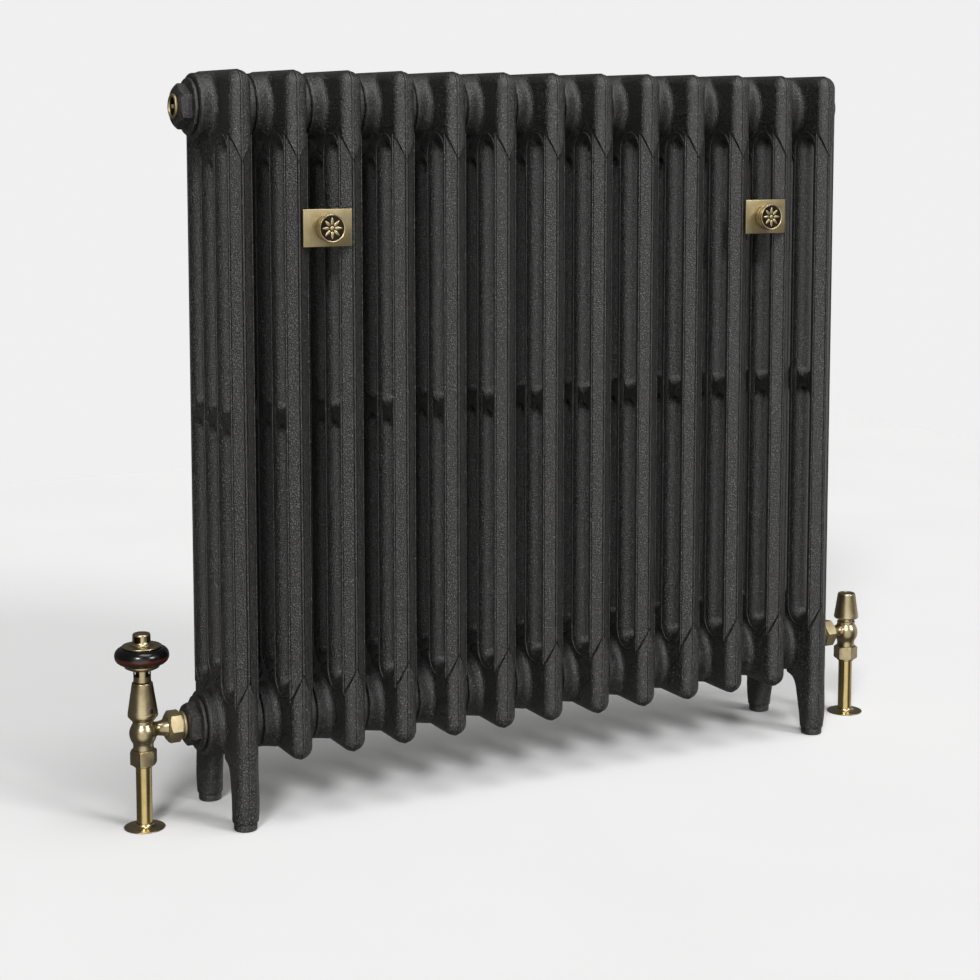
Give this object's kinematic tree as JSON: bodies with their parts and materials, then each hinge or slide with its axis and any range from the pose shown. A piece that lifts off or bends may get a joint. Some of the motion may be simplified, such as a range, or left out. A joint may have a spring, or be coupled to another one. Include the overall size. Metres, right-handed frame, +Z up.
{
  "type": "cast iron radiator",
  "caption": "Column radiator of slim slotted cast iron sections on end feet, with a wooden-ringed thermostatic valve, a lockshield valve, an air vent and wall stays.",
  "frame": {"origin": "middle of the object's footprint, on the floor", "axes": "+X along the radiator from the thermostatic valve to the lockshield valve, +Y from the front to the wall behind, +Z up"},
  "size_m": [0.9266, 0.1868, 0.76],
  "materials": {
    "graphite_paint": "satin graphite paint over cast iron",
    "plain_iron": "bare malleable iron",
    "antique_brass": "satin antique brass",
    "pipe_brass": "satin brass",
    "dark_wood": "gloss varnish",
    "steel": "brushed",
    "capsule_plastic": "moulded"
  },
  "bodies": {
    "radiator": {"section_01_leg": "graphite_paint", "section_02": "graphite_paint", "section_03": "graphite_paint", "section_04": "graphite_paint", "section_05": "graphite_paint", "section_06": "graphite_paint", "section_07": "graphite_paint", "section_08": "graphite_paint", "section_09": "graphite_paint", "section_10": "graphite_paint", "section_11": "graphite_paint", "section_12": "graphite_paint", "section_13_leg": "graphite_paint", "vent_plug": "graphite_paint", "blank_plug": "graphite_paint", "bush_left": "graphite_paint", "bush_right": "graphite_paint", "nipple_top_01": "plain_iron", "nipple_top_02": "plain_iron", "nipple_top_03": "plain_iron", "nipple_top_04": "plain_iron", "nipple_top_05": "plain_iron", "nipple_top_06": "plain_iron", "nipple_top_07": "plain_iron", "nipple_top_08": "plain_iron", "nipple_top_09": "plain_iron", "nipple_top_10": "plain_iron", "nipple_top_11": "plain_iron", "nipple_top_12": "plain_iron", "vent_body": "antique_brass", "trv_body": "antique_brass", "trv_union_tail": "antique_brass", "trv_union_nut": "antique_brass", "trv_compression_nut": "antique_brass", "trv_pipe": "pipe_brass", "trv_floor_plate": "antique_brass", "lockshield_body": "antique_brass", "lockshield_union_tail": "antique_brass", "lockshield_union_nut": "antique_brass", "lockshield_compression_nut": "antique_brass", "lockshield_pipe": "pipe_brass", "lockshield_floor_plate": "antique_brass", "trv_bonnet": "antique_brass", "trv_neck": "antique_brass", "stay_plate_left": "antique_brass", "stay_rod_left": "steel", "wall_plate_left": "antique_brass", "stay_plate_right": "antique_brass", "stay_rod_right": "steel", "wall_plate_right": "antique_brass"},
    "trv_head": {"trv_wood_ring": "dark_wood", "trv_head_cup": "antique_brass", "trv_finial": "antique_brass"},
    "trv_actuator": {"trv_wax_capsule": "capsule_plastic", "trv_pin": "steel"},
    "lockshield_cap": {"lockshield_cap": "antique_brass"},
    "lockshield_spindle": {"lockshield_spindle": "antique_brass"},
    "bleed_screw": {"vent_screw": "antique_brass"},
    "stay_knob_left": {"stay_knob_left": "antique_brass"},
    "stay_knob_right": {"stay_knob_right": "antique_brass"}
  },
  "joints": [
    {"name": "trv_head_turn", "type": "hinge", "parent": "radiator", "child": "trv_head", "pos_m": [-0.43585, -0.01065, 0.1775], "axis": [0, 0, 1], "range_deg": [-150, 150]},
    {"name": "trv_pin_slide", "type": "slide", "parent": "radiator", "child": "trv_actuator", "axis": [0, 0, 1], "range_m": [-0.00135, 0.00135]},
    {"name": "lockshield_cap_lift", "type": "slide", "parent": "radiator", "child": "lockshield_cap", "axis": [0, 0, 1], "range_m": [0, 0.04]},
    {"name": "lockshield_spindle_turn", "type": "hinge", "parent": "radiator", "child": "lockshield_spindle", "pos_m": [0.44175, -0.01065, 0.1], "axis": [0, 0, 1], "range_deg": [0, 720]},
    {"name": "bleed_screw_turn", "type": "hinge", "parent": "radiator", "child": "bleed_screw", "pos_m": [-0.39565, -0.01065, 0.724], "axis": [-1, 0, 0], "range_deg": [0, 360]},
    {"name": "stay_knob_left_turn", "type": "hinge", "parent": "radiator", "child": "stay_knob_left", "pos_m": [-0.25985, -0.08735, 0.6045], "axis": [0, -1, 0], "range_deg": [0, 360]},
    {"name": "stay_knob_right_turn", "type": "hinge", "parent": "radiator", "child": "stay_knob_right", "pos_m": [0.26575, -0.08735, 0.6045], "axis": [0, -1, 0], "range_deg": [0, 360]}
  ],
  "couplings": [
    {"joint": "trv_pin_slide", "follows": "trv_head_turn", "m_per_rad": 0.0005}
  ]
}
